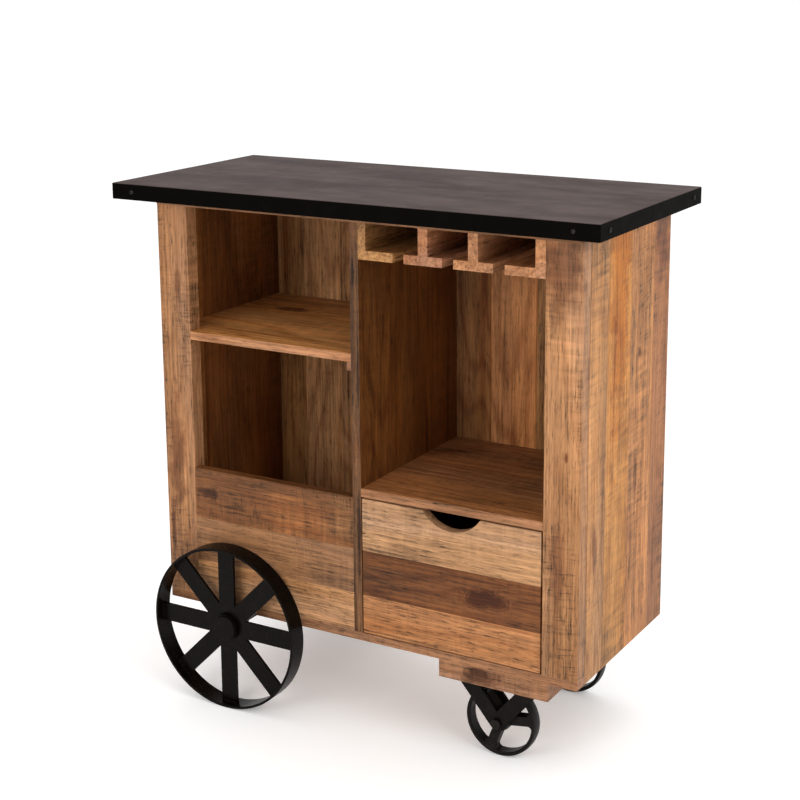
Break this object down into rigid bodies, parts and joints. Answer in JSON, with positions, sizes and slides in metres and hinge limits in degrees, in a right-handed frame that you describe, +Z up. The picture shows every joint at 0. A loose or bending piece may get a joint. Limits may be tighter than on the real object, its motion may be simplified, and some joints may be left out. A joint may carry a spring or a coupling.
{
  "type": "bar cart on wheels",
  "caption": "Plank bar cabinet on spoked wheels and casters, with a folded metal top, a stemware rack, open shelves, a bin and a sliding drawer.",
  "frame": {"origin": "on the floor, at the middle of the overall footprint", "axes": "+X along the top towards the casters, +Y from the front to the back, +Z up"},
  "size_m": [0.8948, 0.4484, 0.914],
  "materials": {
    "mango_wood": "clear satin lacquer over sawn and planed planks",
    "core_board": "raw board",
    "plywood": "sanded",
    "top_metal": "black satin lacquer",
    "black_metal": "black matt lacquer",
    "screw_steel": "blackened",
    "bronze": "sintered bronze"
  },
  "bodies": {
    "cabinet": {"axle_collars": "black_metal", "axle_hangers": "black_metal", "axle_nuts_and_washers": "screw_steel", "back_boards": "mango_wood", "big_axle": "black_metal", "bin_battens": "mango_wood", "bin_board_low": "mango_wood", "bin_board_middle": "mango_wood", "bin_board_top": "mango_wood", "bottom_board": "mango_wood", "carcass_top": "mango_wood", "caster_back_strap_inner": "black_metal", "caster_back_strap_outer": "black_metal", "caster_block": "mango_wood", "caster_bolts_and_nuts": "black_metal", "caster_front_strap_inner": "black_metal", "caster_front_strap_outer": "black_metal", "caster_plate_screws": "screw_steel", "caster_plates": "black_metal", "centre_divider": "mango_wood", "drawer_guide": "mango_wood", "drawer_runner_left": "mango_wood", "drawer_runner_right": "mango_wood", "drawer_stops": "mango_wood", "front_post_left": "mango_wood", "front_post_right": "mango_wood", "hanger_screws": "screw_steel", "left_shelf": "mango_wood", "left_shelf_cleats": "mango_wood", "rack_runner_1": "mango_wood", "rack_runner_2": "mango_wood", "rack_runner_3": "mango_wood", "rack_runner_4": "mango_wood", "right_shelf": "mango_wood", "right_shelf_cleats": "mango_wood", "rim_screws": "screw_steel", "side_planks_left": "mango_wood", "side_planks_right": "mango_wood", "top_core": "core_board", "top_cover": "top_metal", "top_screws": "screw_steel"},
    "drawer": {"drawer_board_low": "mango_wood", "drawer_board_middle": "mango_wood", "drawer_board_top": "mango_wood", "drawer_side_left": "mango_wood", "drawer_side_right": "mango_wood", "drawer_back": "mango_wood", "drawer_bottom": "plywood"},
    "big_wheel_front": {"big_wheel_front_hoop": "black_metal", "big_wheel_front_spokes": "black_metal", "big_wheel_front_hub": "black_metal", "big_wheel_front_cap": "black_metal"},
    "big_wheel_back": {"big_wheel_back_hoop": "black_metal", "big_wheel_back_spokes": "black_metal", "big_wheel_back_hub": "black_metal", "big_wheel_back_cap": "black_metal"},
    "caster_wheel_front": {"caster_front_wheel": "black_metal", "caster_front_bush": "bronze"},
    "caster_wheel_back": {"caster_back_wheel": "black_metal", "caster_back_bush": "bronze"}
  },
  "joints": [
    {"name": "drawer_slide", "type": "slide", "parent": "cabinet", "child": "drawer", "axis": [0, -1, 0], "range_m": [0, 0.25]},
    {"name": "big_wheel_front_spin", "type": "hinge", "parent": "cabinet", "child": "big_wheel_front", "pos_m": [-0.254, -0.1913, 0.1455], "axis": [0, 1, 0], "continuous": true},
    {"name": "big_wheel_back_spin", "type": "hinge", "parent": "cabinet", "child": "big_wheel_back", "pos_m": [-0.254, 0.2067, 0.1455], "axis": [0, 1, 0], "continuous": true},
    {"name": "caster_front_spin", "type": "hinge", "parent": "cabinet", "child": "caster_wheel_front", "pos_m": [0.244, -0.1178, 0.063], "axis": [0, 1, 0], "continuous": true},
    {"name": "caster_back_spin", "type": "hinge", "parent": "cabinet", "child": "caster_wheel_back", "pos_m": [0.244, 0.1522, 0.063], "axis": [0, 1, 0], "continuous": true}
  ]
}
